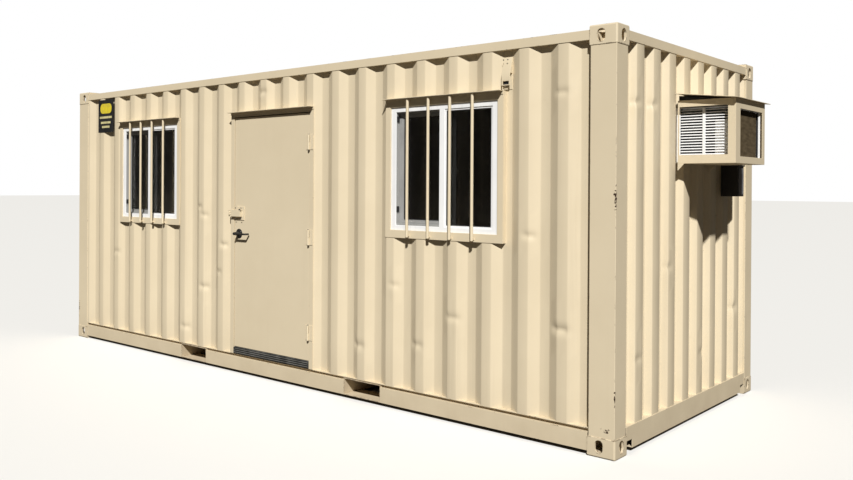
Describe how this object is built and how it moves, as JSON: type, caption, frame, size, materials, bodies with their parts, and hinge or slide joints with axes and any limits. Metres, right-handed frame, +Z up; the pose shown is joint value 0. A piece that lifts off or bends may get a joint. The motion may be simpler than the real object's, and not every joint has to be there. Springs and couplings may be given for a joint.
{
  "type": "shipping container cabin",
  "caption": "Corrugated steel container cabin with a side door, barred sliding windows, insulated lining, fork pockets, corner fittings and a caged air conditioner on one end.",
  "frame": {"origin": "middle of the plan, on the underside of the bottom corner fittings", "axes": "+X along the box towards the air conditioner end, -Y out of the door side, +Z up"},
  "size_m": [6.4475, 2.494, 2.591],
  "materials": {
    "cabin_paint": "satin cream paint with dents, scuffs and a little rust",
    "floor_boards": "sealed plywood",
    "lining": "white faced panels",
    "window_plastic": "white plastic profile",
    "glass": "dark tinted glass",
    "threshold_metal": "ribbed and worn",
    "lever_metal": "black",
    "sign_plate": "blank black plate with a yellow field",
    "cooler_case": "white case",
    "switch_box": "black box"
  },
  "bodies": {
    "cabin": {"bottom_fittings": "cabin_paint", "top_fittings": "cabin_paint", "corner_posts": "cabin_paint", "bottom_side_rails": "cabin_paint", "bottom_end_rails": "cabin_paint", "top_side_rails": "cabin_paint", "top_end_rails": "cabin_paint", "fork_pockets": "cabin_paint", "floor_beams": "cabin_paint", "floor_boards": "floor_boards", "front_wall_panels": "cabin_paint", "front_wall_sills": "cabin_paint", "front_wall_heads": "cabin_paint", "back_wall": "cabin_paint", "left_end_wall": "cabin_paint", "right_end_wall": "cabin_paint", "front_lining_panels": "lining", "front_lining_sills": "lining", "front_lining_heads": "lining", "back_lining": "lining", "left_end_lining": "lining", "right_end_lining": "lining", "roof_sheet": "cabin_paint", "ceiling_panel": "lining", "window_surrounds": "cabin_paint", "window_frames": "window_plastic", "window_sashes": "window_plastic", "window_panes": "glass", "door_frame": "cabin_paint", "door_threshold": "threshold_metal", "drip_caps": "cabin_paint", "hinge_frame_halves": "cabin_paint", "hasp_staple": "cabin_paint", "vent_cover": "cabin_paint", "sign_plate": "sign_plate", "cooler_cage": "cabin_paint", "cooler_cage_roof": "cabin_paint", "cooler_unit": "cooler_case", "switch_box_body": "switch_box"},
    "door": {"door_leaf": "cabin_paint", "hinge_door_halves": "cabin_paint", "lever_roses": "lever_metal", "lock_plate": "cabin_paint", "hasp_strap": "cabin_paint"},
    "lever": {"door_lever": "lever_metal"}
  },
  "joints": [
    {"name": "door_hinge", "type": "hinge", "parent": "cabin", "child": "door", "pos_m": [0.459, -1.225, 0], "axis": [0, 0, 1], "range_deg": [0, 160]},
    {"name": "lever_turn", "type": "hinge", "parent": "door", "child": "lever", "pos_m": [-0.398, -1.209, 1.203], "axis": [0, 1, 0], "range_deg": [0, 45], "stiffness_Nm_per_rad": 2.5, "springref_deg": -28.65}
  ]
}
